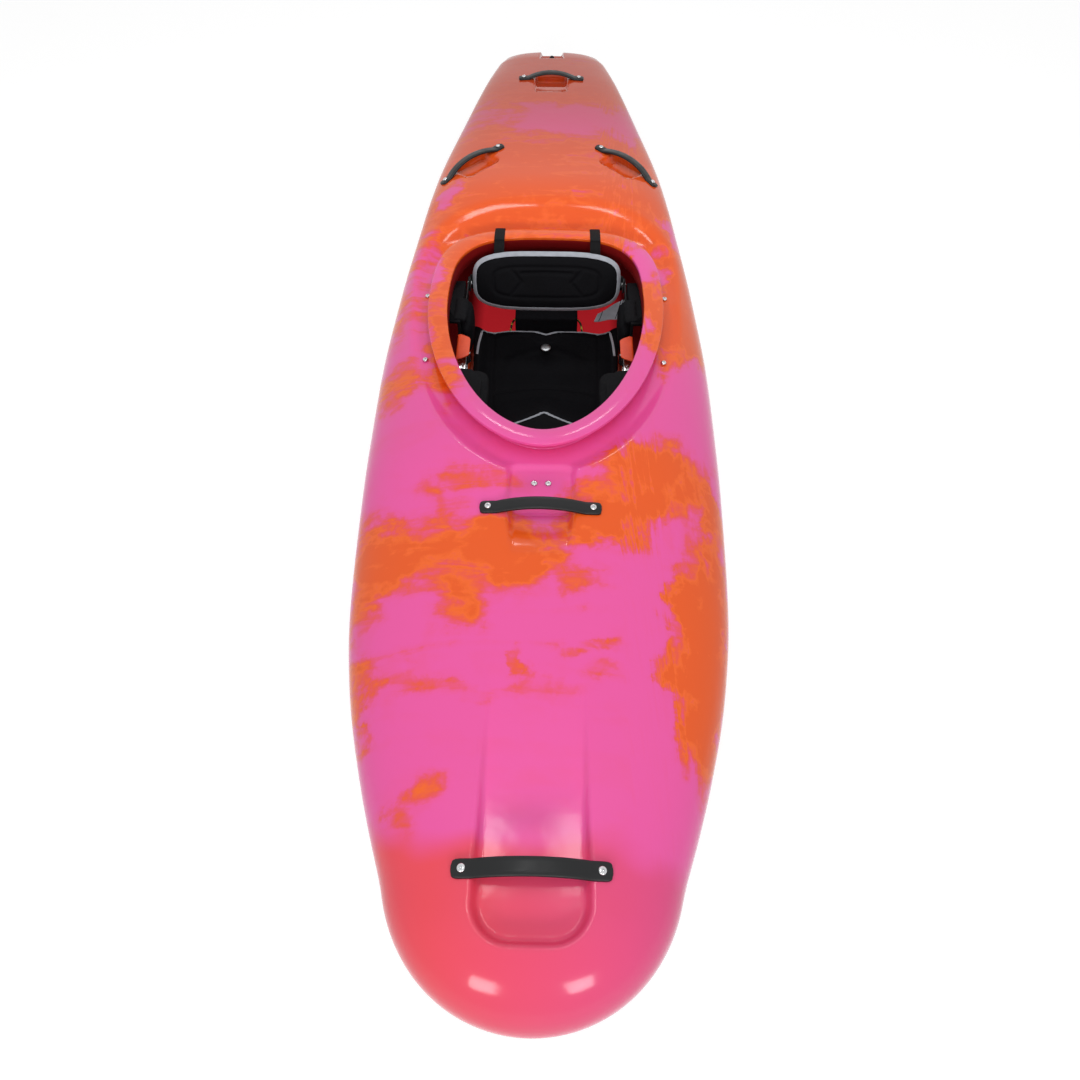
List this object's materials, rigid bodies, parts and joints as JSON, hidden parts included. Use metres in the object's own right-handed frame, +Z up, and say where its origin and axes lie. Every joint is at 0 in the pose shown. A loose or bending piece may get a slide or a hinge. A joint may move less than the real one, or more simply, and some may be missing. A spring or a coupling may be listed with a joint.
{
  "type": "whitewater kayak",
  "caption": "Short decked whitewater kayak with an oval cockpit, grab handles, padded seat, ratcheted backrest and sliding footrest.",
  "frame": {"origin": "on the ground under the middle of the boat's length and beam", "axes": "+Z up, -Y towards the bow, +Y towards the stern, +X to the left of a paddler who faces the bow"},
  "size_m": [0.7178, 2.7796, 0.3638],
  "materials": {
    "shell": "gloss, pink and orange swirl",
    "strap": "satin black",
    "steel": "polished",
    "plug": "satin black",
    "seat": "gloss orange",
    "pad": "black knit over foam",
    "foam": "closed-cell foam",
    "rail": "satin",
    "webbing": "black webbing",
    "bungee": "sheathed"
  },
  "bodies": {
    "hull": {"hull_shell": "shell", "bow_handle": "strap", "foredeck_handle": "strap", "stern_handle": "strap", "side_handle_left": "strap", "side_handle_right": "strap", "thigh_brace_left": "strap", "thigh_brace_right": "strap", "bow_handle_bolt_1": "steel", "bow_handle_bolt_2": "steel", "foredeck_handle_bolt_1": "steel", "foredeck_handle_bolt_2": "steel", "stern_handle_bolt_1": "steel", "stern_handle_bolt_2": "steel", "side_handle_left_bolt_1": "steel", "side_handle_left_bolt_2": "steel", "side_handle_right_bolt_1": "steel", "side_handle_right_bolt_2": "steel", "foredeck_screw_left": "steel", "foredeck_screw_right": "steel", "seat_bolt_left": "steel", "seat_bolt_right": "steel", "thigh_brace_bolt_left": "steel", "thigh_brace_bolt_right": "steel", "ratchet_frame_left": "steel", "ratchet_frame_right": "steel", "rail_screw_left": "steel", "rail_screw_right": "steel", "drain_socket": "plug", "seat_pan": "seat", "seat_pad": "pad", "leg_lifter": "pad", "thigh_pad_left": "pad", "thigh_pad_right": "pad", "hip_pad_left": "pad", "hip_pad_right": "pad", "bow_pillar": "foam", "stern_pillar": "foam", "pillar_block": "foam", "footrest_rail_left": "rail", "footrest_rail_right": "rail", "seat_button": "rail", "rear_strap_left": "webbing", "rear_strap_right": "webbing", "tie_cord_left": "bungee", "tie_cord_right": "bungee"},
    "backrest_carriage": {"ladder_strap_left": "strap", "ladder_strap_right": "strap"},
    "backrest": {"backrest_shell": "strap", "backrest_pad": "pad", "strap_rivet_left": "steel", "strap_rivet_right": "steel"},
    "ratchet_lever_left": {"ratchet_lever_left": "steel"},
    "ratchet_lever_right": {"ratchet_lever_right": "steel"},
    "ratchet_release_left": {"ratchet_release_left": "steel"},
    "ratchet_release_right": {"ratchet_release_right": "steel"},
    "footrest": {"footrest_plate": "strap", "footrest_pad": "foam"},
    "drain_plug": {"drain_plug": "plug"}
  },
  "joints": [
    {"name": "backrest_slide", "type": "slide", "parent": "hull", "child": "backrest_carriage", "axis": [0, -1, 0], "range_m": [0, 0.042], "deforming": ["rear_strap_left", "rear_strap_right"]},
    {"name": "backrest_tilt", "type": "hinge", "parent": "backrest_carriage", "child": "backrest", "pos_m": [0, 0.17792, 0.214], "axis": [1, 0, 0], "range_deg": [-8, 8]},
    {"name": "ratchet_lever_left_turn", "type": "hinge", "parent": "hull", "child": "ratchet_lever_left", "pos_m": [0.18205, -0.11993, 0.214], "axis": [0, 0, -1], "range_deg": [0, 90], "stiffness_Nm_per_rad": 0.08},
    {"name": "ratchet_lever_right_turn", "type": "hinge", "parent": "hull", "child": "ratchet_lever_right", "pos_m": [-0.18205, -0.11993, 0.214], "axis": [0, 0, 1], "range_deg": [0, 90], "stiffness_Nm_per_rad": 0.08},
    {"name": "ratchet_release_left_turn", "type": "hinge", "parent": "hull", "child": "ratchet_release_left", "pos_m": [0.18205, -0.09893, 0.214], "axis": [0, 0, -1], "range_deg": [0, 18], "stiffness_Nm_per_rad": 0.08},
    {"name": "ratchet_release_right_turn", "type": "hinge", "parent": "hull", "child": "ratchet_release_right", "pos_m": [-0.18205, -0.09893, 0.214], "axis": [0, 0, 1], "range_deg": [0, 18], "stiffness_Nm_per_rad": 0.08},
    {"name": "footrest_slide", "type": "slide", "parent": "hull", "child": "footrest", "axis": [0, 1, 0], "range_m": [-0.1, 0.1]},
    {"name": "drain_plug_turn", "type": "hinge", "parent": "hull", "child": "drain_plug", "pos_m": [0, 1.33718, 0.185], "axis": [0, 0, 1], "continuous": true}
  ]
}
